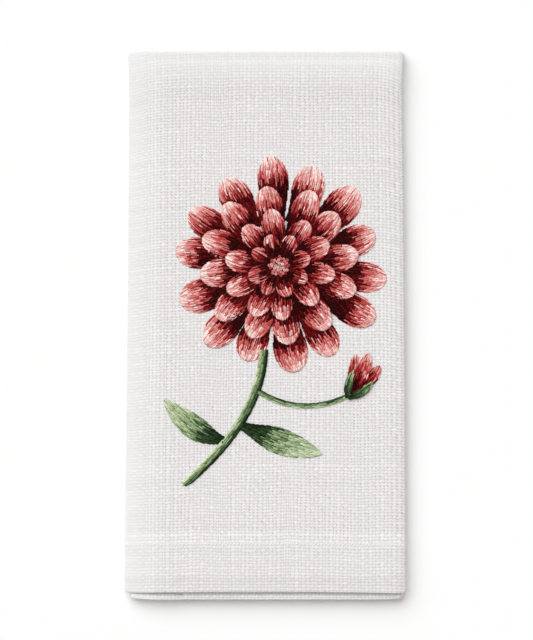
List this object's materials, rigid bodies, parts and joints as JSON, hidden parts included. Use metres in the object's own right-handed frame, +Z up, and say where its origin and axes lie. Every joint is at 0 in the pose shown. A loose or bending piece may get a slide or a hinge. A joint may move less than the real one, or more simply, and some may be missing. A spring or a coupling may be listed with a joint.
{
  "type": "cloth napkin",
  "caption": "Woven linen napkin with hemmed ends, lying folded lengthwise in thirds and crosswise in half, with an embroidered flower on its front.",
  "frame": {"origin": "on the surface the napkin lies on, under the middle of its outline", "axes": "+X across the folded napkin, +Y along its length towards the top fold, +Z up out of the front panel"},
  "size_m": [0.1286, 0.2498, 0.0086],
  "materials": {
    "linen": "matt, open plain weave of uneven off-white linen threads",
    "sewing_thread": "white cotton hem stitches",
    "embroidery_thread": "glossy rayon thread in reds, pinks and greens, long and short satin stitches"
  },
  "bodies": {
    "root": {"napkin_cloth": "linen"}
  },
  "joints": []
}
